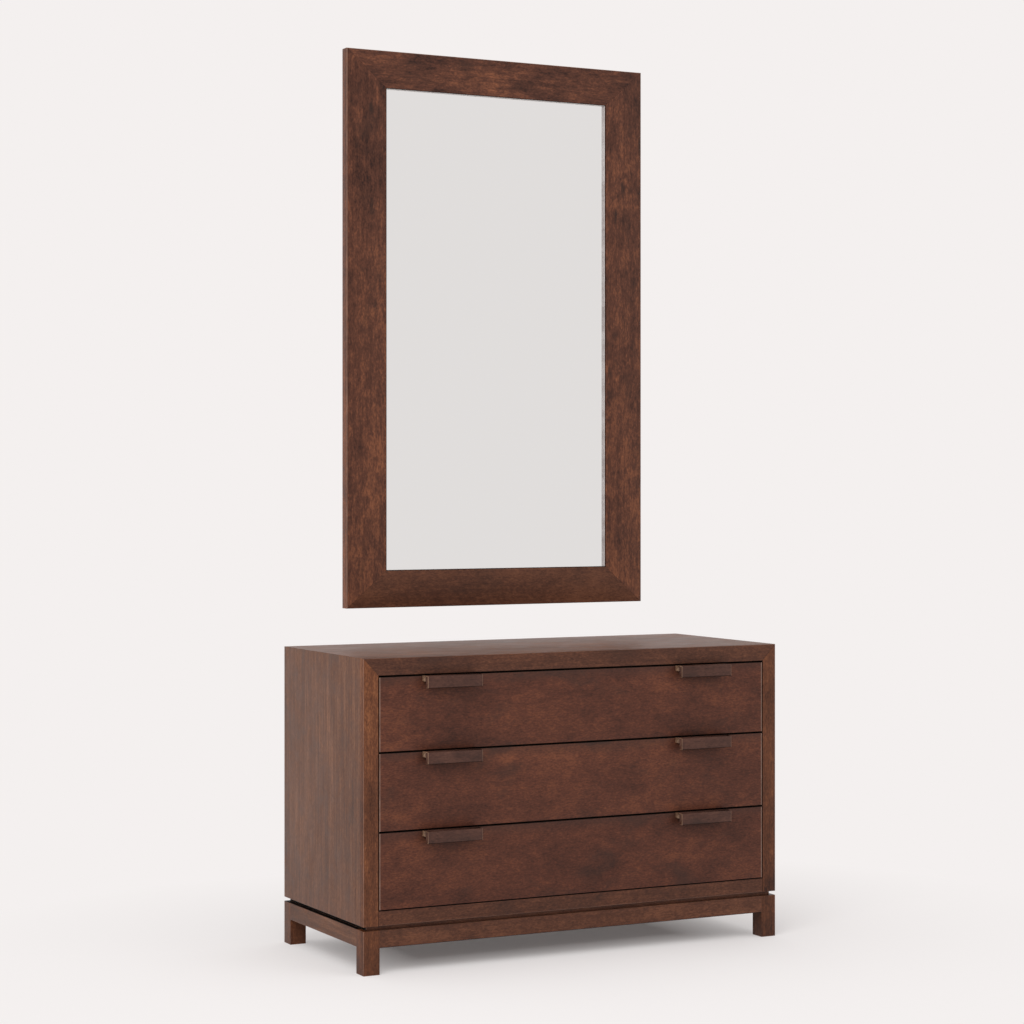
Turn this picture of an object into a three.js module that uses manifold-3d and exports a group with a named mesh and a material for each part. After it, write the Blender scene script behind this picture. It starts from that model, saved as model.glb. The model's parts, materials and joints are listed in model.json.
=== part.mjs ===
// A dresser with three full-width drawers, and a framed mirror that hangs on the wall above it.
// Millimetres. X runs to the right, Y towards the wall and Z up. The origin is on the floor,
// midway between the dresser's sides and midway from the pulls' faces to the wall.
import * as THREE from "three";
import { mergeVertices } from "three/addons/utils/BufferGeometryUtils.js";
import Module from "manifold-3d";

const wasm = await Module();
wasm.setup();

// Overall sizes of the dresser
const width = 1219;
const depth = 522; // face frame to back, without the pulls
const height = 791;

// Base: four square legs, aprons between them and a board set back as a shadow gap
const legSize = 44;
const legFreeHeight = 67; // from the floor to the aprons
const apronHeight = 44;
const apronThickness = 22;
const spacerHeight = 11;
const spacerRecess = 12;

// Case: panels behind a face frame, mitred at its two upper corners
const stileWidth = 41.5; // the side panels are as thick as the stiles are wide
const topRailHeight = 44.5; // the top panel is as thick as the top rail is high
const bottomRailHeight = 36.5;
const faceFrameDepth = 22;
const bottomPanelThickness = 25;
const backPanelThickness = 9;
const mitreGap = 0.4; // open line at each mitre, measured along the rail or panel

// Drawer fronts, inset in the face frame
const frontHeightShares = { top: 188, middle: 196, bottom: 193 }; // parts of their sum
const frontThickness = 20;
const gapAbove = 3;
const gapBetween = 3;
const gapBelow = 2;
const gapSide = 2;

// Drawer boxes
const boxBackRoom = 33; // from the box to the back panel
const boxBoard = 15;
const boxRise = 18; // the box starts this far above the front's lower edge
const boxDrop = 28; // and ends this far below its upper edge
const boxBottomThickness = 6;
const grooveRise = 10; // from the side's lower edge to the groove that holds the bottom
const grooveDepth = 6.5;
const grooveSlack = 0.5;

// Pulls: a leg that stands off the front's upper edge, and a plate that hangs from it
const pullLength = 154;
const pullReach = 34;
const pullPlateThickness = 12;
const pullPlateHeight = 30;
const pullLegHeight = 14;
const pullInset = 118; // from the drawer front's end to the pull

// Slides: a fixed channel on the case, and a channel on the drawer that runs inside it
const slideWidth = 12.5; // from the case's side to the drawer's side
const slideHeight = 45;
const slideSteel = 1.5;
const slideFlange = 10;
const slideClearance = 0.3;
const slideFrontGap = 2; // from the drawer front to the drawer's channel
const slideEndRoom = 41; // from the channels to the back panel

// Mirror
const mirrorWidth = 916;
const mirrorHeight = 1512;
const mirrorThickness = 31;
const mirrorStileWidth = 118;
const mirrorRailHeight = 102;
const mirrorAboveTop = 98; // from the dresser's top to the mirror's lower edge
const mirrorShift = 17; // the mirror's middle lies this far right of the dresser's
const mirrorLip = 10; // wood in front of the glass
const rabbetWidth = 12;
const glassThickness = 5;
const glassEdgeRoom = 2;
const backingThickness = 6;

// Hanging cleats: a bar in a pocket of the mirror's top rail hooks over a bar on the wall
const pocketDepth = 10;
const pocketFromEdge = 13;
const cleatEndRoom = 20; // from the bar's end to the pocket's end
const cleatRoom = 2; // above and below the bars in the pocket
const cleatLength = 500;
const cleatSteel = 2;
const cleatNest = 0.3; // clearance between the hooked bars
const cleatPlateHeight = 20;
const cleatHook = 10; // how far the mirror's bar hangs behind the wall's
const cleatHookRoom = 1.5; // below the hook
const wallPlateHeight = 16;
const liftTravel = 14; // how far the mirror rises to come off the wall's bar

const overrun = 5; // how far each cut runs past the piece that it cuts

// Places worked out from the sizes
const frontY = -(depth + pullReach) / 2 + pullReach; // face frame's front
const wallY = frontY + depth; // dresser's back, and the wall
const rightX = width / 2;
const openingX = rightX - stileWidth;
const legTop = legFreeHeight + apronHeight;
const caseBottom = legTop + spacerHeight;
const openingTop = height - topRailHeight;
const openingBottom = caseBottom + bottomRailHeight;
const panelFrontY = frontY + faceFrameDepth;
const backPanelY = wallY - backPanelThickness;
const boxFrontY = frontY + frontThickness;
const boxBackY = backPanelY - boxBackRoom;
const boxX = openingX - slideWidth;
const boxInnerX = boxX - boxBoard;
const slideBackY = backPanelY - slideEndRoom;
const frontX = openingX - gapSide;
const frontShares = Object.entries(frontHeightShares);
const shareSum = frontShares.reduce((sum, [, share]) => sum + share, 0);
const gapSum = gapAbove + (frontShares.length - 1) * gapBetween + gapBelow;
const frontsHeight = openingTop - openingBottom - gapSum;
const rows = [];
let rowTop = openingTop - gapAbove;
for (const [name, share] of frontShares) {
  const rowHeight = (frontsHeight * share) / shareSum;
  rows.push({ name, bottom: rowTop - rowHeight, height: rowHeight });
  rowTop -= rowHeight + gapBetween;
}

// Finishes, one material for each piece
const finishes = {
  faceWood: { color: 0x6a4231, roughness: 0.5, metalness: 0 },
  frontWood: { color: 0x57382a, roughness: 0.5, metalness: 0 },
  panelWood: { color: 0x6e5244, roughness: 0.55, metalness: 0 },
  mirrorWood: { color: 0x5d3b2c, roughness: 0.5, metalness: 0 },
  boxWood: { color: 0xb08d66, roughness: 0.6, metalness: 0 },
  board: { color: 0x4a352b, roughness: 0.8, metalness: 0 },
  mirrorGlass: { color: 0xe0dedd, roughness: 0.02, metalness: 1 },
  steel: { color: 0xa9abad, roughness: 0.35, metalness: 1 },
};

function piece(name, geometry, finish) {
  const mesh = new THREE.Mesh(
    geometry,
    new THREE.MeshStandardMaterial(finishes[finish]),
  );
  mesh.name = name;
  return mesh;
}

// A box between two corners.
function block(low, high) {
  const geometry = new THREE.BoxGeometry(1, 1, 1);
  const points = geometry.attributes.position;
  for (let i = 0; i < points.count; i += 1) {
    points.setXYZ(
      i,
      points.getX(i) < 0 ? low[0] : high[0],
      points.getY(i) < 0 ? low[1] : high[1],
      points.getZ(i) < 0 ? low[2] : high[2],
    );
  }
  return geometry;
}

// A prism one unit deep over an outline, before it is turned and placed.
function unitPrism(outline) {
  const shape = new THREE.Shape(outline.map(([a, b]) => new THREE.Vector2(a, b)));
  return new THREE.ExtrudeGeometry(shape, { depth: 1, bevelEnabled: false });
}

// An outline of X and Z carried along Y.
function alongY(outline, nearY, farY) {
  const geometry = unitPrism(outline);
  const points = geometry.attributes.position;
  for (let i = 0; i < points.count; i += 1) {
    const y = points.getZ(i) > 0 ? nearY : farY;
    points.setXYZ(i, points.getX(i), y, points.getY(i));
  }
  return geometry;
}

// An outline of Y and Z carried along X.
function alongX(outline, leftX, rightEndX) {
  const geometry = unitPrism(outline);
  const points = geometry.attributes.position;
  for (let i = 0; i < points.count; i += 1) {
    const x = points.getZ(i) > 0 ? rightEndX : leftX;
    points.setXYZ(i, x, points.getX(i), points.getY(i));
  }
  return geometry;
}

function solidOf(geometry) {
  const bare = geometry.clone();
  bare.deleteAttribute("normal");
  bare.deleteAttribute("uv");
  const merged = mergeVertices(bare);
  return new wasm.Manifold(
    new wasm.Mesh({
      numProp: 3,
      vertProperties: merged.attributes.position.array,
      triVerts: new Uint32Array(merged.index.array),
    }),
  );
}

// The first geometry with the others cut out of it.
function cutBy(geometry, ...cutters) {
  let solid = solidOf(geometry);
  for (const cutter of cutters) solid = solid.subtract(solidOf(cutter));
  const mesh = solid.getMesh();
  const result = new THREE.BufferGeometry();
  result.setAttribute("position", new THREE.BufferAttribute(mesh.vertProperties, 3));
  result.setIndex(new THREE.BufferAttribute(mesh.triVerts, 1));
  result.computeVertexNormals();
  return result;
}

// The same outline for the left side (-1) or the right side (1).
function sided(side, outline) {
  return outline.map(([x, z]) => [side * x, z]);
}

// A block given for the right side, placed on either side.
function sidedBlock(side, low, high) {
  if (side > 0) return block(low, high);
  return block([-high[0], low[1], low[2]], [-low[0], high[1], high[2]]);
}

const sides = [
  ["left", -1],
  ["right", 1],
];

function makeBase() {
  const base = new THREE.Group();
  const legInnerX = rightX - legSize;
  const frontLegBackY = frontY + legSize;
  const backLegFrontY = wallY - legSize;
  for (const [word, side] of sides) {
    const front = sidedBlock(side, [legInnerX, frontY, 0], [rightX, frontLegBackY, legTop]);
    base.add(piece(`leg_front_${word}`, front, "faceWood"));
    const back = sidedBlock(side, [legInnerX, backLegFrontY, 0], [rightX, wallY, legTop]);
    base.add(piece(`leg_back_${word}`, back, "faceWood"));
    const apron = sidedBlock(
      side,
      [rightX - apronThickness, frontLegBackY, legFreeHeight],
      [rightX, backLegFrontY, legTop],
    );
    base.add(piece(`apron_${word}`, apron, "panelWood"));
  }
  const frontApron = block(
    [-legInnerX, frontY, legFreeHeight],
    [legInnerX, frontY + apronThickness, legTop],
  );
  base.add(piece("apron_front", frontApron, "faceWood"));
  const backApron = block(
    [-legInnerX, wallY - apronThickness, legFreeHeight],
    [legInnerX, wallY, legTop],
  );
  base.add(piece("apron_back", backApron, "panelWood"));
  const spacer = block(
    [-rightX + spacerRecess, frontY + spacerRecess, legTop],
    [rightX - spacerRecess, wallY - spacerRecess, caseBottom],
  );
  base.add(piece("base_spacer", spacer, "board"));
  return base;
}

function makeCase() {
  const body = new THREE.Group();
  // A stile and the side panel behind it share this outline, mitred at the top.
  const upright = [
    [rightX, caseBottom],
    [rightX, height],
    [openingX, openingTop],
    [openingX, caseBottom],
  ];
  for (const [word, side] of sides) {
    const stile = alongY(sided(side, upright), frontY, panelFrontY);
    body.add(piece(`face_stile_${word}`, stile, "faceWood"));
    const panel = alongY(sided(side, upright), panelFrontY, wallY);
    body.add(piece(`side_panel_${word}`, panel, "panelWood"));
  }
  // The top rail and the top panel share this one.
  const span = [
    [-openingX + mitreGap, openingTop],
    [openingX - mitreGap, openingTop],
    [rightX - mitreGap, height],
    [-rightX + mitreGap, height],
  ];
  body.add(piece("face_rail_top", alongY(span, frontY, panelFrontY), "faceWood"));
  body.add(piece("top_panel", alongY(span, panelFrontY, wallY), "panelWood"));
  const bottomRail = block(
    [-openingX, frontY, caseBottom],
    [openingX, panelFrontY, openingBottom],
  );
  body.add(piece("face_rail_bottom", bottomRail, "faceWood"));
  const bottomPanelTop = caseBottom + bottomPanelThickness;
  const bottomPanel = block(
    [-openingX, panelFrontY, caseBottom],
    [openingX, wallY, bottomPanelTop],
  );
  body.add(piece("bottom_panel", bottomPanel, "board"));
  const backPanel = block(
    [-openingX, backPanelY, bottomPanelTop],
    [openingX, wallY, openingTop],
  );
  body.add(piece("back_panel", backPanel, "board"));
  return body;
}

// Heights of a drawer's box, from its front's lower edge.
function boxHeights(row) {
  const low = boxRise;
  const high = row.height - boxDrop;
  return { low, high, middle: (low + high) / 2 };
}

// The channel on the case's side, opening towards the drawer.
function makeFixedSlide(row, word, side) {
  const middle = row.bottom + boxHeights(row).middle;
  const low = middle - slideHeight / 2;
  const high = middle + slideHeight / 2;
  const flangeX = openingX - slideFlange;
  const webX = openingX - slideSteel;
  const outline = [
    [openingX, low],
    [openingX, high],
    [flangeX, high],
    [flangeX, high - slideSteel],
    [webX, high - slideSteel],
    [webX, low + slideSteel],
    [flangeX, low + slideSteel],
    [flangeX, low],
  ];
  const channel = alongY(sided(side, outline), panelFrontY, slideBackY);
  return piece(`slide_${row.name}_${word}_fixed`, channel, "steel");
}

// The channel on the drawer's side, opening towards the case.
function makeMovingSlide(row, word, side) {
  const { middle } = boxHeights(row);
  const reach = slideHeight / 2 - slideSteel - slideClearance;
  const low = middle - reach;
  const high = middle + reach;
  const flangeX = boxX + slideFlange;
  const webX = boxX + slideSteel;
  const outline = [
    [boxX, low],
    [flangeX, low],
    [flangeX, low + slideSteel],
    [webX, low + slideSteel],
    [webX, high - slideSteel],
    [flangeX, high - slideSteel],
    [flangeX, high],
    [boxX, high],
  ];
  const channel = alongY(sided(side, outline), boxFrontY + slideFrontGap, slideBackY);
  return piece(`slide_${row.name}_${word}_moving`, channel, "steel");
}

// A board of the box with a groove along its inner face for the bottom.
function makeBoxSide(row, word, side) {
  const { low, high } = boxHeights(row);
  const grooveX = boxInnerX + grooveDepth;
  const grooveLow = low + grooveRise;
  const grooveHigh = grooveLow + boxBottomThickness;
  const outline = [
    [boxX, low],
    [boxX, high],
    [boxInnerX, high],
    [boxInnerX, grooveHigh],
    [grooveX, grooveHigh],
    [grooveX, grooveLow],
    [boxInnerX, grooveLow],
    [boxInnerX, low],
  ];
  const board = alongY(sided(side, outline), boxFrontY, boxBackY);
  return piece(`drawer_${row.name}_side_${word}`, board, "boxWood");
}

// An upside-down L on the front, with room for fingers behind its plate.
function makePull(row, word, side) {
  const faceY = frontY - pullReach;
  const plateBackY = faceY + pullPlateThickness;
  const outline = [
    [frontY, row.height - pullLegHeight],
    [frontY, row.height],
    [faceY, row.height],
    [faceY, row.height - pullPlateHeight],
    [plateBackY, row.height - pullPlateHeight],
    [plateBackY, row.height - pullLegHeight],
  ];
  const middleX = side * (frontX - pullInset - pullLength / 2);
  const bar = alongX(outline, middleX - pullLength / 2, middleX + pullLength / 2);
  return piece(`drawer_${row.name}_pull_${word}`, bar, "frontWood");
}

function makeDrawer(row) {
  const drawer = new THREE.Group();
  drawer.position.z = row.bottom;
  const { low, high } = boxHeights(row);
  const front = block([-frontX, frontY, 0], [frontX, boxFrontY, row.height]);
  drawer.add(piece(`drawer_${row.name}_front`, front, "frontWood"));
  const floorLow = low + grooveRise;
  const floorHigh = floorLow + boxBottomThickness;
  const floorX = boxInnerX + grooveDepth - grooveSlack;
  const floor = block([-floorX, boxFrontY, floorLow], [floorX, boxBackY, floorHigh]);
  drawer.add(piece(`drawer_${row.name}_bottom`, floor, "boxWood"));
  const back = block(
    [-boxInnerX, boxBackY - boxBoard, floorHigh],
    [boxInnerX, boxBackY, high],
  );
  drawer.add(piece(`drawer_${row.name}_back`, back, "boxWood"));
  for (const [word, side] of sides) {
    drawer.add(makeBoxSide(row, word, side));
    drawer.add(makePull(row, word, side));
    drawer.add(makeMovingSlide(row, word, side));
  }
  return drawer;
}

// The mirror is drawn about its own middle, with its back at Y zero and its lower edge at Z zero.
function makeMirror() {
  const mirror = new THREE.Group();
  mirror.position.set(mirrorShift, wallY, height + mirrorAboveTop);
  const edgeX = mirrorWidth / 2;
  const glassX = edgeX - mirrorStileWidth;
  const upperZ = mirrorHeight - mirrorRailHeight;
  const glassFrontY = -mirrorThickness + mirrorLip;
  const glassBackY = glassFrontY + glassThickness;

  const stileOutline = [
    [edgeX, 0],
    [edgeX, mirrorHeight],
    [glassX, upperZ],
    [glassX, mirrorRailHeight],
  ];
  const sideRabbetLow = [glassX - overrun, glassFrontY, -overrun];
  const sideRabbetHigh = [glassX + rabbetWidth, overrun, mirrorHeight + overrun];
  for (const [word, side] of sides) {
    const stile = cutBy(
      alongY(sided(side, stileOutline), -mirrorThickness, 0),
      sidedBlock(side, sideRabbetLow, sideRabbetHigh),
    );
    mirror.add(piece(`mirror_stile_${word}`, stile, "mirrorWood"));
  }

  // Places of the hooked bars, from the face that carries the mirror.
  const pocketTop = mirrorHeight - pocketFromEdge;
  const seat = pocketTop - cleatRoom - cleatPlateHeight;
  const wallWebTop = seat - cleatHook - cleatHookRoom;
  const wallPlateLow = wallWebTop - wallPlateHeight;
  const pocketBottom = wallPlateLow - liftTravel - cleatRoom;
  const pocketX = cleatLength / 2 + cleatEndRoom;

  const bottomRail = cutBy(
    alongY(
      [
        [-edgeX + mitreGap, 0],
        [edgeX - mitreGap, 0],
        [glassX - mitreGap, mirrorRailHeight],
        [-glassX + mitreGap, mirrorRailHeight],
      ],
      -mirrorThickness,
      0,
    ),
    block(
      [-edgeX - overrun, glassFrontY, mirrorRailHeight - rabbetWidth],
      [edgeX + overrun, overrun, mirrorRailHeight + overrun],
    ),
  );
  mirror.add(piece("mirror_rail_bottom", bottomRail, "mirrorWood"));
  const topRail = cutBy(
    alongY(
      [
        [-glassX + mitreGap, upperZ],
        [glassX - mitreGap, upperZ],
        [edgeX - mitreGap, mirrorHeight],
        [-edgeX + mitreGap, mirrorHeight],
      ],
      -mirrorThickness,
      0,
    ),
    block(
      [-edgeX - overrun, glassFrontY, upperZ - overrun],
      [edgeX + overrun, overrun, upperZ + rabbetWidth],
    ),
    block([-pocketX, -pocketDepth, pocketBottom], [pocketX, overrun, pocketTop]),
  );
  mirror.add(piece("mirror_rail_top", topRail, "mirrorWood"));

  const paneX = glassX + rabbetWidth - glassEdgeRoom;
  const paneLow = mirrorRailHeight - rabbetWidth + glassEdgeRoom;
  const paneHigh = upperZ + rabbetWidth - glassEdgeRoom;
  const glass = block([-paneX, glassFrontY, paneLow], [paneX, glassBackY, paneHigh]);
  mirror.add(piece("mirror_glass", glass, "mirrorGlass"));
  const backing = block(
    [-paneX, glassBackY, paneLow],
    [paneX, glassBackY + backingThickness, paneHigh],
  );
  mirror.add(piece("mirror_backing", backing, "board"));

  // The mirror's bar: a plate on the pocket's floor, a step towards the wall and a hook down.
  const plateBackY = -pocketDepth + cleatSteel;
  const upFlangeFrontY = plateBackY + cleatNest;
  const upFlangeBackY = upFlangeFrontY + cleatSteel;
  const hookFrontY = upFlangeBackY + cleatNest;
  const hookBackY = hookFrontY + cleatSteel;
  const barOutline = [
    [-pocketDepth, seat],
    [hookFrontY, seat],
    [hookFrontY, seat - cleatHook],
    [hookBackY, seat - cleatHook],
    [hookBackY, seat + cleatSteel],
    [plateBackY, seat + cleatSteel],
    [plateBackY, seat + cleatPlateHeight],
    [-pocketDepth, seat + cleatPlateHeight],
  ];
  const bar = alongX(barOutline, -cleatLength / 2, cleatLength / 2);
  mirror.add(piece("mirror_cleat", bar, "steel"));

  // The wall's bar: a plate on the wall, a step into the room and a flange up.
  const wallOutline = [
    [0, wallPlateLow],
    [0, wallWebTop],
    [upFlangeBackY, wallWebTop],
    [upFlangeBackY, seat - cleatNest],
    [upFlangeFrontY, seat - cleatNest],
    [upFlangeFrontY, wallWebTop - cleatSteel],
    [-cleatSteel, wallWebTop - cleatSteel],
    [-cleatSteel, wallPlateLow],
  ];
  const wallBar = alongX(wallOutline, -cleatLength / 2, cleatLength / 2);
  mirror.add(piece("wall_cleat", wallBar, "steel"));
  return mirror;
}

const group = new THREE.Group();
group.add(makeBase());
group.add(makeCase());
for (const row of rows) {
  group.add(makeDrawer(row));
  for (const [word, side] of sides) group.add(makeFixedSlide(row, word, side));
}
group.add(makeMirror());

export default group;
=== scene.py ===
"""A dresser with three drawers, and the framed mirror that hangs above it."""

import json
import math

import bpy
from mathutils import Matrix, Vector


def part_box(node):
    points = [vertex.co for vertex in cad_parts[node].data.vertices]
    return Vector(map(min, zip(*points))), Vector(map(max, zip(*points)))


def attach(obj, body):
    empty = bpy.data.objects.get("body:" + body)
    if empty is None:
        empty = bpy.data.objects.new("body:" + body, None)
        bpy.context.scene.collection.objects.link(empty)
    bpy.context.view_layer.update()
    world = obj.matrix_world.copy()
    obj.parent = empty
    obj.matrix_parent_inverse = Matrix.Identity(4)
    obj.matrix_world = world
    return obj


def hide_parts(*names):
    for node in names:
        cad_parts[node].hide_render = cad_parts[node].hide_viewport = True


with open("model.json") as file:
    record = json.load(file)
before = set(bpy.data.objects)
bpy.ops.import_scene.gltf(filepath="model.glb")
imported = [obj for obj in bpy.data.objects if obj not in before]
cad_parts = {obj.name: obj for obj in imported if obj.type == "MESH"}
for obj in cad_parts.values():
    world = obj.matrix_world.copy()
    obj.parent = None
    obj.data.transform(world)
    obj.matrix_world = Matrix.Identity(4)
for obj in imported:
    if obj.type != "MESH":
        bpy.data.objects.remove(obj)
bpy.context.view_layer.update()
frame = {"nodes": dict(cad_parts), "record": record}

BODY_OF = {
    node: body
    for body, nodes in frame["record"]["behaviour"]["bodies"].items()
    for node in nodes
}
SLOT_OF = {row["node"]: row["material_slot"] for row in frame["record"]["subparts"]}
SIDES = (("left", -1), ("right", 1))
ROWS = ("top", "middle", "bottom")

# Camera: where it stands, which way it looks and how long its lens is
CAMERA_PLACE = (-3.128, -5.929, 1.236)
CAMERA_TURN = math.radians(27.3)
PICTURE_SIDE = 1024
FOCAL_PIXELS = 2494.9
HORIZON_PIXEL = 479.9
SENSOR_WIDTH = 36.0

# How far each kind of edge is rounded over, in metres
CASE_EASE = 0.0011
GAP_EASE = 0.0012
FRONT_EASE = 0.0022
PULL_EASE = 0.0012
BOX_EASE = 0.0012
BACKING_EASE = 0.0004
MIRROR_EASE = 0.0016
EASE_STEPS = 3
SMOOTH_ANGLE = math.radians(40)

# Other sizes, in metres
PULL_PLATE = 0.012
PULL_LEG = 0.014
MITRE_GAP = 0.0004
RABBET_ROOM = 0.002
POCKET_SIDE = 0.02
POCKET_BELOW = 0.0335
CUT_OVERRUN = 0.01
GLASS_RIM = 0.0140
GLASS_RIM_FALL = 0.0004
NEAR = 1e-5

# A face looks a given way when its normal's share of that direction is more than this
ROUGHLY = 0.9
CLOSELY = 0.99
SQUARELY = 0.999


def tone(red, green, blue):
    """A colour as it is read off a screen, made linear."""
    def linear(value):
        share = value / 255
        if share <= 0.04045:
            return share / 12.92
        return ((share + 0.055) / 1.055) ** 2.4
    return (linear(red), linear(green), linear(blue), 1.0)


class Tree:
    """A node tree, with short words for adding to it."""

    def __init__(self, tree):
        self.tree = tree

    def add(self, kind, **values):
        node = self.tree.nodes.new(kind)
        for key, value in values.items():
            setattr(node, key, value)
        return node

    def link(self, source, target):
        self.tree.links.new(source, target)

    def set(self, node, **values):
        for key, value in values.items():
            node.inputs[key.replace("_", " ")].default_value = value
        return node

    def mapped(self, source, scale, turn=(0, 0, 0)):
        node = self.add("ShaderNodeMapping")
        node.inputs["Scale"].default_value = scale
        node.inputs["Rotation"].default_value = turn
        self.link(source, node.inputs["Vector"])
        return node.outputs["Vector"]

    def noise(self, vector, seed, scale, detail, roughness, warp=0.0):
        node = self.add("ShaderNodeTexNoise", noise_dimensions="4D")
        self.set(node, Scale=scale, Detail=detail, Roughness=roughness, Distortion=warp)
        self.link(vector, node.inputs["Vector"])
        self.link(seed, node.inputs["W"])
        return node.outputs["Fac"]

    def sum(self, first, second, operation="ADD", clamp=False):
        node = self.add("ShaderNodeMath", operation=operation, use_clamp=clamp)
        for socket, value in zip(node.inputs, (first, second)):
            if isinstance(value, (int, float)):
                socket.default_value = value
            else:
                self.link(value, socket)
        return node.outputs["Value"]

    def ramp(self, value, stops):
        node = self.add("ShaderNodeValToRGB")
        points = node.color_ramp.elements
        while len(points) < len(stops):
            points.new(0.5)
        for point, (place, colour) in zip(points, stops):
            point.position = place
            point.color = colour
        self.link(value, node.inputs["Fac"])
        return node.outputs["Color"]

    def mix(self, factor, first, second, blend="MIX"):
        node = self.add("ShaderNodeMix", data_type="RGBA", blend_type=blend)
        sockets = (node.inputs[0], node.inputs[6], node.inputs[7])
        for socket, value in zip(sockets, (factor, first, second)):
            if isinstance(value, (int, float, tuple)):
                socket.default_value = value
            else:
                self.link(value, socket)
        return node.outputs[2]


class Nodes(Tree):
    """A new material's node tree, with its shader at hand."""

    def __init__(self, name):
        self.material = bpy.data.materials.new(name)
        self.material.use_nodes = True
        super().__init__(self.material.node_tree)
        self.shader = self.tree.nodes["Principled BSDF"]


# The turn that brings each grain direction onto the pattern's X axis
GRAIN_TURNS = {"X": (0, 0, 0), "Y": (0, 0, -math.pi / 2), "Z": (0, math.pi / 2, 0)}

# Each layer of the wood's pattern: its scale along and across the grain, per metre,
# then its detail, roughness and distortion
LAYERS = {
    "clouds": (3.6, 8.0, 3.0, 0.6, 0.6),
    "patches": (14.0, 21.0, 5.0, 0.65, 0.9),
    "figure": (15.0, 52.0, 3.0, 0.6, 1.9),
    "streaks": (3.2, 95.0, 4.0, 0.65, 0.5),
    "fibres": (130.0, 290.0, 2.0, 0.6, 0.2),
}
PORES = (70.0, 1100.0, 1.0, 0.5, 0.0)
PORE_STOPS = ((0.30, tone(150, 140, 135)), (0.42, (1, 1, 1, 1)))
PORE_SHARE = 0.6
SMUDGES = (7.0, 13.0, 4.0, 0.6, 0.8)
SMUDGE_START, SMUDGE_RISE = 0.54, 6.0
# Knots: their cells along and across the grain, how far the figure bends them,
# their size in a cell and how sharp their rim is
KNOT_CELLS = (7.0, 19.0, 19.0)
KNOT_BEND, KNOT_SIZE, KNOT_RIM = 0.34, 0.36, 9.0

# Each stain: its dark, middle and light tones as read off a screen, the glaze colour that gathers
# in smudges and on fronts also gives the painted shade, how strongly each layer shows, and how much
# glaze there is
STAINS = {
    "face_wood": {
        "tones": ((44, 22, 14), (99, 58, 37), (154, 98, 62)),
        "glaze_and_shade": (50, 34, 28),
        "layers": {"clouds": 0.9, "patches": 0.5, "figure": 0.35, "streaks": 0.6, "fibres": 0.8},
        "smudge": 0.3,
    },
    "rail_wood": {
        "tones": ((46, 25, 19), (83, 50, 36), (120, 76, 54)),
        "glaze_and_shade": (48, 33, 28),
        "layers": {"clouds": 0.8, "patches": 0.6, "figure": 0.3, "streaks": 0.5, "fibres": 1.0},
        "smudge": 0.4,
    },
    "front_wood": {
        "tones": ((42, 22, 16), (86, 48, 35), (124, 73, 49)),
        "glaze_and_shade": (50, 36, 31),
        "layers": {"clouds": 0.8, "patches": 0.8, "figure": 0.15, "streaks": 0.2, "fibres": 0.9},
        "smudge": 0.45,
        "pull_and_top_shade": 0.5,
    },
    "pull_wood": {
        "tones": ((44, 29, 24), (74, 48, 40), (98, 66, 54)),
        "glaze_and_shade": (50, 38, 34),
        "layers": {"clouds": 0.8, "patches": 1.0, "figure": 0.3, "streaks": 0.5, "fibres": 0.8},
        "smudge": 0.5,
    },
    "panel_wood": {
        "tones": ((56, 34, 24), (102, 62, 39), (146, 100, 72)),
        "glaze_and_shade": (70, 54, 48),
        "layers": {"clouds": 0.7, "patches": 0.5, "figure": 0.3, "streaks": 1.2, "fibres": 0.7},
        "smudge": 0.35,
    },
    "mirror_wood": {
        "tones": ((38, 19, 14), (88, 52, 38), (140, 86, 58)),
        "glaze_and_shade": (48, 31, 25),
        "layers": {"clouds": 0.7, "patches": 0.85, "figure": 0.9, "streaks": 0.6, "fibres": 0.9},
        "smudge": 0.5,
        "knots": 0.9,
        "lower_lift": 0.16,
    },
    "box_wood": {
        "tones": ((140, 104, 68), (186, 150, 108), (214, 182, 140)),
        "glaze_and_shade": (160, 126, 88),
        "layers": {"clouds": 0.6, "patches": 0.2, "figure": 0.3, "streaks": 0.9, "fibres": 0.5},
        "smudge": 0.1,
    },
    "board": {
        "tones": ((30, 22, 19), (48, 36, 31), (62, 48, 42)),
        "glaze_and_shade": (34, 26, 23),
        "layers": {"clouds": 0.5, "patches": 0.4, "figure": 0.2, "streaks": 0.6, "fibres": 0.5},
        "smudge": 0.3,
    },
}
# Each stain's rounded edge, from stained to bare: rubbed wear together with a painted highlight
EDGES = {
    "face_wood": ((96, 62, 46), (148, 108, 88)),
    "front_wood": ((112, 86, 74), (150, 120, 106)),
    "rail_wood": ((84, 56, 44), (124, 90, 74)),
    "pull_wood": ((96, 70, 54), (150, 118, 94)),
    "panel_wood": ((100, 70, 56), (134, 98, 80)),
    "mirror_wood": ((96, 66, 52), (146, 112, 94)),
    "box_wood": ((170, 134, 94), (200, 166, 122)),
    "board": ((44, 33, 28), (58, 44, 38)),
}
MIRROR_MIDDLE = 1.55
# Painted shade on a front, round its pulls and under its top edge: the pulls' distance from the
# middle, how far the shade reaches to each side of a pull and below the top edge, and how far below
# that edge elsewhere
PULL_CENTRE_X = 0.371
PULL_SHADE = (0.125, 0.052)
TOP_SHADE = 0.030
# The step in the pattern from one board to the next, and how much a turned side is lifted as
# painted light
BOARD_STEP = 3.7
PAINTED_SIDE_LIGHT = 0.22
made_woods = {}


def pattern_layer(n, along, seed, layer):
    """One layer of noise, stretched along the grain."""
    length, breadth, detail, roughness, warp = layer
    stretched = n.mapped(along, (length, breadth, breadth))
    return n.noise(stretched, seed, 1.0, detail, roughness, warp)


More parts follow.
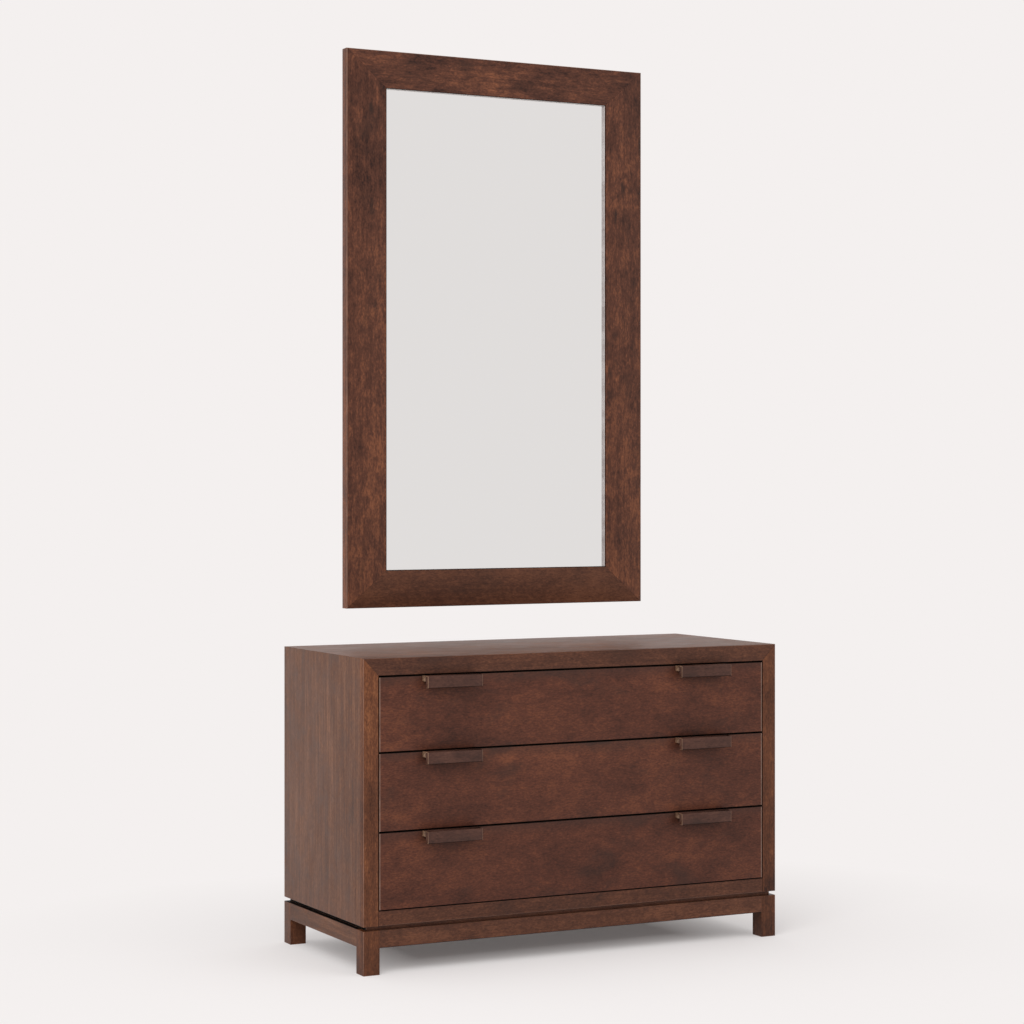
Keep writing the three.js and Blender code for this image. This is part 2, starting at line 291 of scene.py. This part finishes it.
def shade_near_pulls(n, place, from_high):
    """How much painted shade falls round a front's two pulls and along its top edge."""
    split = n.add("ShaderNodeSeparateXYZ")
    n.link(place, split.inputs[0])
    height = n.add("ShaderNodeSeparateXYZ")
    n.link(from_high, height.inputs[0])
    across = n.sum(n.sum(split.outputs["X"], 0.0, "ABSOLUTE"), PULL_CENTRE_X, "SUBTRACT")
    across = n.sum(across, PULL_SHADE[0], "DIVIDE")
    down = n.sum(height.outputs["Z"], PULL_SHADE[1], "DIVIDE")
    reach = n.sum(n.sum(across, 2.0, "POWER"), n.sum(down, 2.0, "POWER"))
    near_pull = n.sum(1.0, reach, "SUBTRACT", clamp=True)
    near_top = n.sum(height.outputs["Z"], TOP_SHADE, "DIVIDE")
    near_top = n.sum(1.0, near_top, "SUBTRACT", clamp=True)
    return n.sum(near_pull, near_top, "MAXIMUM")


def wood(name, stain, grain):
    """Stained close-grained wood: clouds, mottle, streaks, fibres, pores and smudged glaze, with
    painted shade round a front's pulls and along its top edge.
    """
    recipe = STAINS[stain]
    n = Nodes(name)
    place = n.add("ShaderNodeTexCoord").outputs["Object"]
    along = n.mapped(place, (1, 1, 1), GRAIN_TURNS[grain])
    seed = n.add("ShaderNodeAttribute", attribute_name="board").outputs["Fac"]
    shift = n.add("ShaderNodeAttribute", attribute_name="tone").outputs["Fac"]
    value = n.sum(shift, 0.5)
    if "lower_lift" in recipe:
        height = n.add("ShaderNodeSeparateXYZ")
        n.link(place, height.inputs[0])
        below = n.sum(MIRROR_MIDDLE, height.outputs["Z"], "SUBTRACT")
        value = n.sum(value, n.sum(below, recipe["lower_lift"], "MULTIPLY"))
    made = {}
    for word, layer in LAYERS.items():
        made[word] = pattern_layer(n, along, seed, layer)
        part = n.sum(n.sum(made[word], 0.5, "SUBTRACT"), recipe["layers"][word], "MULTIPLY")
        value = n.sum(value, part)
    dark, middle, light = (tone(*colour) for colour in recipe["tones"])
    colour = n.ramp(value, ((0.0, dark), (0.5, middle), (1.0, light)))
    smudge = pattern_layer(n, along, seed, SMUDGES)
    amount = n.sum(n.sum(smudge, SMUDGE_START, "SUBTRACT"), SMUDGE_RISE, "MULTIPLY", clamp=True)
    amount = n.sum(amount, recipe["smudge"], "MULTIPLY")
    # Painted shade round the pulls and under the top edge, in the glaze colour
    if "pull_and_top_shade" in recipe:
        from_high = n.add("ShaderNodeAttribute", attribute_name="from_high").outputs["Vector"]
        edge = shade_near_pulls(n, place, from_high)
        broken = n.sum(edge, made["patches"], "MULTIPLY")
        broken = n.sum(broken, 2.0 * recipe["pull_and_top_shade"], "MULTIPLY")
        amount = n.sum(amount, broken, clamp=True)
    colour = n.mix(amount, colour, tone(*recipe["glaze_and_shade"]))
    if "knots" in recipe:
        cells = n.add("ShaderNodeTexVoronoi", voronoi_dimensions="4D")
        n.link(n.mapped(along, KNOT_CELLS), cells.inputs["Vector"])
        n.link(seed, cells.inputs["W"])
        cells.inputs["Scale"].default_value = 1.0
        ring = n.sum(cells.outputs["Distance"], n.sum(made["figure"], KNOT_BEND, "MULTIPLY"))
        knot = n.sum(n.sum(KNOT_SIZE, ring, "SUBTRACT"), KNOT_RIM, "MULTIPLY", clamp=True)
        colour = n.mix(n.sum(knot, recipe["knots"], "MULTIPLY"), colour, tone(*recipe["glaze_and_shade"]))
    pores = pattern_layer(n, along, seed, PORES)
    pore = n.ramp(pores, PORE_STOPS)
    n.link(n.mix(PORE_SHARE, colour, pore, "MULTIPLY"), n.shader.inputs["Base Color"])
    n.link(n.sum(n.sum(made["patches"], 0.3, "MULTIPLY"), 0.30), n.shader.inputs["Roughness"])
    n.shader.inputs["Specular IOR Level"].default_value = 0.2
    bump = n.add("ShaderNodeBump")
    n.set(bump, Strength=0.14, Distance=0.0004)
    n.link(n.sum(made["fibres"], pores), bump.inputs["Height"])
    n.link(bump.outputs["Normal"], n.shader.inputs["Normal"])
    return n.material


def worn_and_highlit_edge(name, stain, grain):
    """The same wood on a rounded edge or an end, made paler by rubbed wear and a painted highlight.
    """
    n = Nodes(name)
    place = n.add("ShaderNodeTexCoord").outputs["Object"]
    along = n.mapped(place, (1, 1, 1), GRAIN_TURNS[grain])
    seed = n.add("ShaderNodeAttribute", attribute_name="board").outputs["Fac"]
    rub = n.noise(n.mapped(along, (14, 30, 30)), seed, 1.0, 4.0, 0.7)
    stained, bare = (tone(*colour) for colour in EDGES[stain])
    n.link(n.ramp(rub, ((0.32, stained), (0.68, bare))), n.shader.inputs["Base Color"])
    n.link(n.sum(n.sum(rub, 0.2, "MULTIPLY"), 0.28), n.shader.inputs["Roughness"])
    n.shader.inputs["Specular IOR Level"].default_value = 0.35
    return n.material


def even_grain(n, scale, dark, light, detail=3.0, roughness=0.6):
    """Colours the shader by one noise between two stops, and gives the noise back."""
    place = n.add("ShaderNodeTexCoord").outputs["Object"]
    grain = n.noise(n.mapped(place, scale), n.sum(0.0, 1.0), 1.0, detail, roughness)
    n.link(n.ramp(grain, (dark, light)), n.shader.inputs["Base Color"])
    return grain


def painted_gap_shade():
    """Painted shade: a near-black colour on the narrow faces and edges that line the gaps."""
    n = Nodes("gap_painted_shade")
    even_grain(n, (40, 40, 40), (0.3, tone(12, 8, 6)), (0.7, tone(26, 16, 12)))
    n.shader.inputs["Roughness"].default_value = 0.7
    n.shader.inputs["Specular IOR Level"].default_value = 0.1
    return n.material


def lip_painted_highlight():
    """A painted highlight: the pale colour on the inner faces of the lip that meets the glass."""
    n = Nodes("lip_highlight_paint")
    even_grain(n, (25, 25, 25), (0.35, tone(176, 166, 164)), (0.6, tone(214, 207, 205)))
    n.shader.inputs["Roughness"].default_value = 0.35
    return n.material


def wood_set(stain, grain):
    """A stain's face material, its worn edge with a painted highlight, the painted gap shade and
    the lip's painted highlight, made once for each grain direction.
    """
    key = (stain, grain)
    if "gap" not in made_woods:
        made_woods["gap"] = painted_gap_shade()
        made_woods["lip"] = lip_painted_highlight()
    if key not in made_woods:
        made_woods[key] = (
            wood(f"{stain}_grain_{grain}", stain, grain),
            worn_and_highlit_edge(f"{stain}_edge_{grain}", stain, grain),
            made_woods["gap"],
            made_woods["lip"],
        )
    return made_woods[key]


# Material slots: the face wood, the worn edge with its painted highlight, the painted gap shade and
# the lip's painted highlight
FACE, EDGE, GAP, LIP = 0, 1, 2, 3


def edit(obj, kind="EDGE"):
    """Starts editing one object with nothing selected."""
    bpy.ops.object.select_all(action="DESELECT")
    bpy.context.view_layer.objects.active = obj
    obj.select_set(True)
    bpy.ops.object.mode_set(mode="EDIT")
    bpy.ops.mesh.select_mode(type=kind)
    bpy.ops.mesh.select_all(action="DESELECT")


def done():
    """Ends the editing."""
    bpy.ops.object.mode_set(mode="OBJECT")


def box_between(name, low, high):
    """A box between two corners, with its place in its mesh."""
    bpy.ops.object.select_all(action="DESELECT")
    low, high = Vector(low), Vector(high)
    bpy.ops.mesh.primitive_cube_add(size=1, location=(low + high) / 2, scale=high - low)
    obj = bpy.context.object
    obj.name = name
    bpy.ops.object.transform_apply(location=True, rotation=True, scale=True)
    return obj


def bisect(obj, place, normal):
    """Takes away what lies on the normal's side of a plane, and closes the end."""
    edit(obj, "FACE")
    bpy.ops.mesh.select_all(action="SELECT")
    bpy.ops.mesh.bisect(plane_co=place, plane_no=normal, use_fill=True, clear_outer=True)
    done()


def cut(obj, cutter):
    """Cuts one object out of another and removes it."""
    modifier = obj.modifiers.new("cut", "BOOLEAN")
    modifier.object = cutter
    modifier.solver = "EXACT"
    bpy.ops.object.select_all(action="DESELECT")
    bpy.context.view_layer.objects.active = obj
    obj.select_set(True)
    bpy.ops.object.modifier_apply(modifier="cut")
    bpy.data.objects.remove(cutter)


def ease(obj, amount, wanted, look=EDGE):
    """Rounds the chosen edges over, and gives them worn wood with a painted highlight, or the
    painted gap shade when that look is given.
    """
    edit(obj)
    done()
    corners = obj.data.vertices
    for edge in obj.data.edges:
        first, second = (corners[i].co for i in edge.vertices)
        edge.select = wanted(first, second)
    bpy.ops.object.mode_set(mode="EDIT")
    bpy.ops.mesh.bevel(
        offset=amount, offset_type="OFFSET", segments=EASE_STEPS, affect="EDGES", material=look
    )
    done()


def every_edge(_first, _second):
    """The test that every edge passes."""
    return True


def along_line(**places):
    """A test for the edges that lie on the planes given, such as y=front, z=top."""
    axes = {"xyz".index(axis): place for axis, place in places.items()}

    def wanted(first, second):
        return all(
            abs(end[axis] - place) < NEAR for end in (first, second) for axis, place in axes.items()
        )

    return wanted


def any_of(*tests):
    """A test for the edges that pass one of the tests."""
    return lambda first, second: any(test(first, second) for test in tests)


UP, DOWN, LEFT, RIGHT, FRONT, BACK = (
    Vector(v) for v in ((0, 0, 1), (0, 0, -1), (-1, 0, 0), (1, 0, 0), (0, -1, 0), (0, 1, 0))
)
board_count = 0


def finish_wood(obj, node, grain, stain=None, shift=0.0, lit_sides=()):
    """Gives a piece its woods, its own place in the pattern, its tone and painted light on the
    sides listed.
    """
    global board_count
    board_count += 1
    for material in wood_set(stain or SLOT_OF[node], grain):
        obj.data.materials.append(material)
    obj["board_number"] = board_count
    obj["tone_shift"] = shift
    obj["lit_sides"] = [part for side in lit_sides for part in side]


def paint(obj, gaps=()):
    """Paints the mitres dark, and gives the faces that line a gap painted shade."""
    for face in obj.data.polygons:
        straight = max(abs(part) for part in face.normal) > SQUARELY
        if not straight or any(face.normal.dot(side) > CLOSELY for side in gaps):
            face.material_index = GAP


def stand_for(obj, node):
    """The finished piece is shaded smooth, gets its pattern attributes if it has a board number,
    goes on its node's body and takes the node's place.
    """
    bpy.ops.object.select_all(action="DESELECT")
    bpy.context.view_layer.objects.active = obj
    obj.select_set(True)
    bpy.ops.object.shade_smooth_by_angle(angle=SMOOTH_ANGLE)
    mesh = obj.data
    if "board_number" in obj:
        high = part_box(node)[1]
        board = mesh.attributes.new("board", "FLOAT", "POINT")
        board.data.foreach_set("value", [obj["board_number"] * BOARD_STEP] * len(mesh.vertices))
        inset = mesh.attributes.new("from_high", "FLOAT_VECTOR", "POINT")
        inset.data.foreach_set("vector", [part for v in mesh.vertices for part in high - v.co])
        # The tone attribute holds the piece's tone shift plus painted light on the sides listed
        tones = mesh.attributes.new("tone", "FLOAT", "FACE")
        flat = list(obj["lit_sides"])
        lit_sides = [Vector(flat[i:i + 3]) for i in range(0, len(flat), 3)]
        shift = obj["tone_shift"]
        tones.data.foreach_set("value", [
            shift + PAINTED_SIDE_LIGHT * any(face.normal.dot(side) > ROUGHLY for side in lit_sides)
            for face in mesh.polygons
        ])
        for key in ("board_number", "tone_shift", "lit_sides"):
            del obj[key]
    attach(obj, BODY_OF[node])
    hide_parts(node)
    return obj


def make_board(
    node, grain, amount=CASE_EASE, wanted=every_edge, dark=None, cuts=(), gaps=(), **look
):
    """A board in its node's place: mitred, stained, given painted shade on its gap faces and dark
    edges, eased and put on its body.
    """
    obj = box_between(f"{node}_board", *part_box(node))
    for place, normal in cuts:
        bisect(obj, place, normal)
    finish_wood(obj, node, grain, **look)
    paint(obj, gaps)
    if dark:
        ease(obj, GAP_EASE, dark, GAP)
    ease(obj, amount, wanted)
    return stand_for(obj, node)


def make_base():
    """Four legs, four aprons and the board set back above them."""
    shifts = {"front_left": -0.05, "front_right": -0.2, "back_left": -0.05, "back_right": -0.1}
    for place, shift in shifts.items():
        node = f"leg_{place}"
        low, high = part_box(node)
        outer_x = low.x if "left" in place else high.x
        outer_y = low.y if "front" in place else high.y
        make_board(
            node, "Z", wanted=any_of(along_line(x=outer_x, y=outer_y), along_line(z=low.z)),
            gaps=() if "front" in place else (UP,), shift=shift,
        )
    low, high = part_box("apron_front")
    make_board(
        "apron_front", "X", wanted=along_line(y=high.y, z=low.z),
        dark=along_line(y=low.y, z=low.z), stain="rail_wood", shift=0.03,
    )
    low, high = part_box("apron_back")
    make_board("apron_back", "X", wanted=along_line(y=high.y, z=low.z), gaps=(UP,))
    for word, side in SIDES:
        low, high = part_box(f"apron_{word}")
        outer = low.x if side < 0 else high.x
        make_board(
            f"apron_{word}", "Y", wanted=along_line(x=outer, z=low.z), gaps=(UP,), shift=-0.1
        )
    make_board(
        "base_spacer", "X", amount=BOX_EASE,
        gaps=(BACK, LEFT, RIGHT), stain="rail_wood", shift=0.15,
    )


def make_case():
    """The face frame and the panels, mitred at the top corners."""
    rail_low, rail_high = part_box("face_rail_top")
    front, back = rail_low.y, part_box("top_panel")[1].y
    top, opening_top = rail_high.z, rail_low.z
    rise = top - opening_top
    shifts = {"left": -0.02, "right": -0.2}
    for word, side in SIDES:
        low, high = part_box(f"face_stile_{word}")
        outer, inner = (low.x, high.x) if side < 0 else (high.x, low.x)
        inward = RIGHT if side < 0 else LEFT
        mitre = ((inner, 0, opening_top), Vector((-side * rise, 0, high.x - low.x)).normalized())
        make_board(
            f"face_stile_{word}", "Z",
            wanted=along_line(x=outer, y=front), dark=along_line(x=inner, y=front),
            cuts=(mitre,), gaps=(inward,), shift=shifts[word],
        )
        make_board(
            f"side_panel_{word}", "Z",
            wanted=any_of(along_line(x=outer, y=back), along_line(x=outer, z=low.z)),
            cuts=(mitre,), gaps=(DOWN,),
        )
    opening_edge = along_line(y=front, z=opening_top)
    for node, wanted, dark, stain, shift in (
        ("face_rail_top", along_line(y=front, z=top), opening_edge, "rail_wood", -0.07),
        ("top_panel", along_line(y=back, z=top), None, "panel_wood", -0.06),
    ):
        low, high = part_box(node)
        mitres = []
        for word, side in SIDES:
            corner = high.x if side > 0 else low.x
            stile_low, stile_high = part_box(f"face_stile_{word}")
            normal = Vector((side * rise, 0, stile_low.x - stile_high.x)).normalized()
            mitres.append(((corner, 0, top), normal))
        make_board(
            node, "X", wanted=wanted, dark=dark, cuts=mitres, gaps=(DOWN,), stain=stain, shift=shift
        )
    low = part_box("face_rail_bottom")[0]
    make_board(
        "face_rail_bottom", "X",
        wanted=along_line(y=front, z=low.z), gaps=(UP,), stain="rail_wood", shift=-0.05,
    )
    make_board("bottom_panel", "X", amount=BOX_EASE)
    make_board("back_panel", "Z", amount=BOX_EASE)


FRONT_SHIFTS = {"top": -0.02, "middle": 0.0, "bottom": -0.05}


def make_drawers():
    """Three drawers: front, box and two pulls each."""
    for row in ROWS:
        low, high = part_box(f"drawer_{row}_front")
        # The fronts' level edges take painted gap shade, their upright edges the worn edge with its
        # painted highlight
        make_board(
            f"drawer_{row}_front", "X", amount=FRONT_EASE,
            wanted=any_of(along_line(x=low.x, y=low.y), along_line(x=high.x, y=low.y)),
            dark=any_of(along_line(y=low.y, z=low.z), along_line(y=low.y, z=high.z)),
            gaps=(UP, DOWN, LEFT, RIGHT), shift=FRONT_SHIFTS[row],
        )
        make_board(f"drawer_{row}_bottom", "X", amount=BOX_EASE)
        make_board(f"drawer_{row}_back", "X", amount=BOX_EASE)
        for word, _side in SIDES:
            make_board(f"drawer_{row}_side_{word}", "Y", amount=BOX_EASE)
            make_pull(f"drawer_{row}_pull_{word}")


# A pull's rounding runs lengthwise when its normal has less than this share across,
# and belongs to the underside, which gets painted shade, when it looks down by more than this share
PULL_LENGTHWISE = 0.1
PULL_UNDERSIDE = 0.2


def make_pull(node):
    """A leg standing off the front, with a plate that hangs from it."""
    low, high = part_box(node)
    plate_back = low.y + PULL_PLATE
    leg_low = high.z - PULL_LEG
    obj = box_between(f"{node}_bar", (low.x, low.y, leg_low), high)
    edit(obj, "FACE")
    bpy.ops.mesh.select_all(action="SELECT")
    bpy.ops.mesh.bisect(plane_co=(0, plate_back, 0), plane_no=(0, 1, 0))
    done()
    for face in obj.data.polygons:
        face.select = face.normal.z < -ROUGHLY and face.center.y < plate_back
    bpy.ops.object.mode_set(mode="EDIT")
    bpy.ops.mesh.extrude_region_move(TRANSFORM_OT_translate={"value": (0, 0, low.z - leg_low)})
    done()
    # The pull's ends are painted paler as painted light, and the leg's ends take the worn edge with
    # its painted highlight
    finish_wood(obj, node, "X", stain="pull_wood", lit_sides=(LEFT, RIGHT))
    for face in obj.data.polygons:
        if abs(face.normal.x) > ROUGHLY and face.center.y > plate_back:
            face.material_index = EDGE

    def wanted(first, second):
        on_cut = abs(first.y - plate_back) < NEAR and abs(second.y - plate_back) < NEAR
        above = first.z > leg_low + NEAR and second.z > leg_low + NEAR
        upright = abs(first.x - second.x) < NEAR and max(first.z, second.z) > leg_low + NEAR
        level = abs(first.z - leg_low) < NEAR and abs(second.z - leg_low) < NEAR
        in_plate = level and min(first.y, second.y) < plate_back - NEAR
        return not in_plate and not (on_cut and (above or upright))

    ease(obj, PULL_EASE, wanted)
    # Lengthwise rounding takes the pull's own wood, and painted shade on the underside
    for face in obj.data.polygons:
        across, along, upward = face.normal
        lengthwise = abs(across) < PULL_LENGTHWISE
        if lengthwise and max(abs(along), abs(upward)) < SQUARELY:
            face.material_index = GAP if upward < -PULL_UNDERSIDE else FACE
    return stand_for(obj, node)


def make_mirror():
    """The mirror's mitred frame, with its rabbet and hanging pocket, and its backing."""
    left_low, left_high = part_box("mirror_stile_left")
    right_low, right_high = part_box("mirror_stile_right")
    lower_low, lower_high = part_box("mirror_rail_bottom")
    upper_low, upper_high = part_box("mirror_rail_top")
    front, back = left_low.y, left_high.y
    stile, rail = left_high.x - left_low.x, lower_high.z - lower_low.z
    inner = {"left": left_high.x, "right": right_low.x, "bottom": lower_high.z, "top": upper_low.z}
    outer = {"left": left_low.x, "right": right_high.x, "bottom": lower_low.z, "top": upper_high.z}
    signs = {"left": -1, "right": 1, "bottom": -1, "top": 1}
    sides = {"left": (LEFT, RIGHT), "right": (RIGHT, LEFT), "bottom": (DOWN, UP), "top": (UP, DOWN)}
    looks = {
        "left": {"shift": -0.04},
        "right": {"shift": -0.02},
        "bottom": {"stain": "rail_wood", "shift": 0.13},
        "top": {"shift": 0.01},
    }
    glass_low, glass_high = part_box("mirror_glass")
    bar_low, bar_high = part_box("mirror_cleat")
    for word, (outward, inward) in sides.items():
        upright = word in ("left", "right")
        node = f"mirror_{'stile' if upright else 'rail'}_{word}"
        obj = box_between(f"{node}_board", *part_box(node))
        for end in (("bottom", "top") if upright else ("left", "right")):
            if upright:
                corner = (inner[word], 0, inner[end])
                normal = Vector((-signs[word] * rail, 0, signs[end] * stile))
            else:
                corner = (inner[end] - signs[end] * MITRE_GAP, 0, inner[word])
                normal = Vector((signs[end] * rail, 0, -signs[word] * stile))
            bisect(obj, corner, normal.normalized())
        # The frame's outer sides are painted paler, as painted light
        finish_wood(obj, node, "Z" if upright else "X", lit_sides=(outward,), **looks[word])
        paint(obj)
        # The inner faces of the lip take the pale painted highlight
        for face in obj.data.polygons:
            if face.normal.dot(inward) > CLOSELY:
                face.material_index = LIP
        axis = "x" if upright else "z"
        ease(obj, MIRROR_EASE, any_of(
            along_line(y=front, **{axis: outer[word]}),
            along_line(y=back, **{axis: outer[word]}),
        ))
        # The inner front edge takes painted gap shade
        ease(obj, MIRROR_EASE, along_line(y=front, **{axis: inner[word]}), GAP)
        cut(obj, box_between(
            "rabbet",
            (glass_low.x - RABBET_ROOM, glass_low.y, glass_low.z - RABBET_ROOM),
            (glass_high.x + RABBET_ROOM, back + CUT_OVERRUN, glass_high.z + RABBET_ROOM),
        ))
        if word == "top":
            cut(obj, box_between(
                "pocket",
                (bar_low.x - POCKET_SIDE, bar_low.y, bar_low.z - POCKET_BELOW),
                (bar_high.x + POCKET_SIDE, back + CUT_OVERRUN, bar_high.z + RABBET_ROOM),
            ))
        stand_for(obj, node)
    make_board("mirror_backing", "Z", amount=BACKING_EASE)


SILVER, RIM_SHADE = 0, 1
FLAT_GLASS = 0.9999


def make_glass():
    """Silvered glass with a bevelled rim, near black as painted shade, that just shows inside the
    frame.
    """
    low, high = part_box("mirror_glass")
    obj = box_between("mirror_glass_sheet", low, high)
    for face in obj.data.polygons:
        face.select = face.normal.y < -ROUGHLY
    bpy.ops.object.mode_set(mode="EDIT")
    bpy.ops.mesh.select_mode(type="FACE")
    bpy.ops.mesh.inset(thickness=GLASS_RIM, depth=0)
    done()
    inner = Vector((GLASS_RIM, 0, GLASS_RIM))
    for corner in obj.data.vertices:
        on_front = abs(corner.co.y - low.y) < NEAR
        past = corner.co.x < (low + inner).x - NEAR or corner.co.x > (high - inner).x + NEAR
        if on_front and past:
            corner.co.y += GLASS_RIM_FALL
    silver = Nodes("silvered_glass")
    silver.shader.inputs["Base Color"].default_value = (0.825, 0.83, 0.825, 1)
    silver.shader.inputs["Metallic"].default_value = 1.0
    silver.shader.inputs["Roughness"].default_value = 0.0
    # The rim's near-black colour is painted shade along the glass's edge
    rim_shade = Nodes("glass_rim_shade")
    stops = (0.3, tone(14, 13, 13)), (0.7, tone(30, 28, 28))
    even_grain(rim_shade, (400, 400, 400), *stops, detail=2.0, roughness=0.5)
    rim_shade.shader.inputs["Roughness"].default_value = 0.5
    rim_shade.shader.inputs["Specular IOR Level"].default_value = 0.2
    obj.data.materials.append(silver.material)
    obj.data.materials.append(rim_shade.material)
    for face in obj.data.polygons:
        flat = face.normal.y < -FLAT_GLASS or face.normal.y > ROUGHLY
        face.material_index = SILVER if flat else RIM_SHADE
    stand_for(obj, "mirror_glass")


def make_steel():
    """Plated steel on the slides and hanging bars, which keep their solids' shapes."""
    n = Nodes("zinc_plated_steel")
    stops = (0.3, tone(150, 152, 155)), (0.7, tone(190, 192, 194))
    grain = even_grain(n, (30, 4, 300), *stops)
    n.shader.inputs["Metallic"].default_value = 1.0
    n.link(n.sum(n.sum(grain, 0.2, "MULTIPLY"), 0.25), n.shader.inputs["Roughness"])
    for node, obj in frame["nodes"].items():
        if SLOT_OF[node] == "steel":
            obj.data.materials.clear()
            obj.data.materials.append(n.material)


BACKGROUND = tone(244, 240, 239)
FLOOR_PAINT = tone(248, 244, 243)
FLOOR_SIZE = 80
SOFT_LIGHT = 0.62
# Half the width and depth of the floor under the dresser that keeps its full shadow,
# then how the floor goes over into the background beyond it
SHADOW_CORE = (0.38, 0.08)
FADE_HEAD_START, FADE_LENGTH, FADE_CURVE = 0.03, 1.3, 0.6
# Each lamp's name, place, aim, size and power
LAMPS = (
    ("key", (-2.9, -2.8, 3.5), (0, 0, 0.8), 2.4, 95),
    ("fill", (2.8, -4.2, 2.6), (0, 0, 0.8), 3.0, 34),
    ("overhead", (0, 0, 5.0), (0, 0, 0), 4.0, 20),
)


def make_camera():
    """The camera that took the picture, level and with its lens shifted."""
    camera = bpy.data.cameras.new("camera")
    camera.sensor_width = SENSOR_WIDTH
    camera.lens = FOCAL_PIXELS / PICTURE_SIDE * SENSOR_WIDTH
    camera.shift_y = (HORIZON_PIXEL - PICTURE_SIDE / 2) / PICTURE_SIDE
    camera.clip_end = 200
    obj = bpy.data.objects.new("camera", camera)
    obj.location = CAMERA_PLACE
    obj.rotation_euler = (math.pi / 2, 0, -CAMERA_TURN)
    bpy.context.scene.collection.objects.link(obj)
    bpy.context.scene.camera = obj


def seen_directly(n):
    """One where a ray comes from the camera, a reflection or a clear material."""
    rays = n.add("ShaderNodeLightPath").outputs
    direct = n.sum(rays["Is Camera Ray"], rays["Is Glossy Ray"], "MAXIMUM")
    return n.sum(direct, rays["Is Transmission Ray"], "MAXIMUM")


def make_world():
    """White light all round, with a plain pale background where it is seen."""
    world = bpy.data.worlds.new("studio")
    bpy.context.scene.world = world
    world.use_nodes = True
    n = Tree(world.node_tree)
    n.tree.nodes.clear()
    seen = n.set(n.add("ShaderNodeBackground"), Color=BACKGROUND)
    light = n.set(n.add("ShaderNodeBackground"), Color=(1, 1, 1, 1), Strength=SOFT_LIGHT)
    both = n.add("ShaderNodeMixShader")
    out = n.add("ShaderNodeOutputWorld")
    n.link(seen_directly(n), both.inputs[0])
    n.link(light.outputs[0], both.inputs[1])
    n.link(seen.outputs[0], both.inputs[2])
    n.link(both.outputs[0], out.inputs["Surface"])


def make_floor():
    """A pale floor that keeps the dresser's shadow and goes over into the background."""
    bpy.ops.object.select_all(action="DESELECT")
    bpy.ops.mesh.primitive_plane_add(size=FLOOR_SIZE, location=(0, 0, 0))
    floor = bpy.context.object
    floor.name = "floor"
    n = Nodes("pale_floor")
    n.shader.inputs["Base Color"].default_value = FLOOR_PAINT
    n.shader.inputs["Roughness"].default_value = 0.9
    n.shader.inputs["Specular IOR Level"].default_value = 0.0
    place = n.add("ShaderNodeTexCoord").outputs["Object"]
    split = n.add("ShaderNodeSeparateXYZ")
    n.link(place, split.inputs[0])
    past = []
    for axis, reach in zip("XY", SHADOW_CORE):
        beyond = n.sum(n.sum(split.outputs[axis], 0.0, "ABSOLUTE"), reach, "SUBTRACT")
        past.append(n.sum(n.sum(beyond, 0.0, "MAXIMUM"), 2.0, "POWER"))
    distance = n.sum(n.sum(*past), 0.5, "POWER")
    share = n.sum(n.sum(distance, FADE_HEAD_START), FADE_LENGTH, "DIVIDE", clamp=True)
    far = n.sum(share, FADE_CURVE, "POWER")
    glow = n.add("ShaderNodeEmission")
    glow.inputs["Color"].default_value = BACKGROUND
    blend = n.add("ShaderNodeMixShader")
    n.link(n.sum(seen_directly(n), far, "MULTIPLY"), blend.inputs[0])
    n.link(n.shader.outputs["BSDF"], blend.inputs[1])
    n.link(glow.outputs["Emission"], blend.inputs[2])
    n.link(blend.outputs["Shader"], n.tree.nodes["Material Output"].inputs["Surface"])
    floor.data.materials.append(n.material)


def make_lamp(name, place, target, size, power):
    """A soft square lamp, aimed at the target and left out of reflections."""
    light = bpy.data.lights.new(name, "AREA")
    light.shape = "SQUARE"
    light.size = size
    light.energy = power
    obj = bpy.data.objects.new(name, light)
    obj.location = place
    obj.rotation_euler = (Vector(target) - Vector(place)).to_track_quat("-Z", "Y").to_euler()
    obj.visible_glossy = False
    bpy.context.scene.collection.objects.link(obj)


def make_studio():
    """The world, the floor and the lamps."""
    bpy.context.scene.view_settings.view_transform = "Standard"
    make_world()
    make_floor()
    for lamp in LAMPS:
        make_lamp(*lamp)


make_camera()
make_base()
make_case()
make_drawers()
make_mirror()
make_glass()
make_steel()
make_studio()
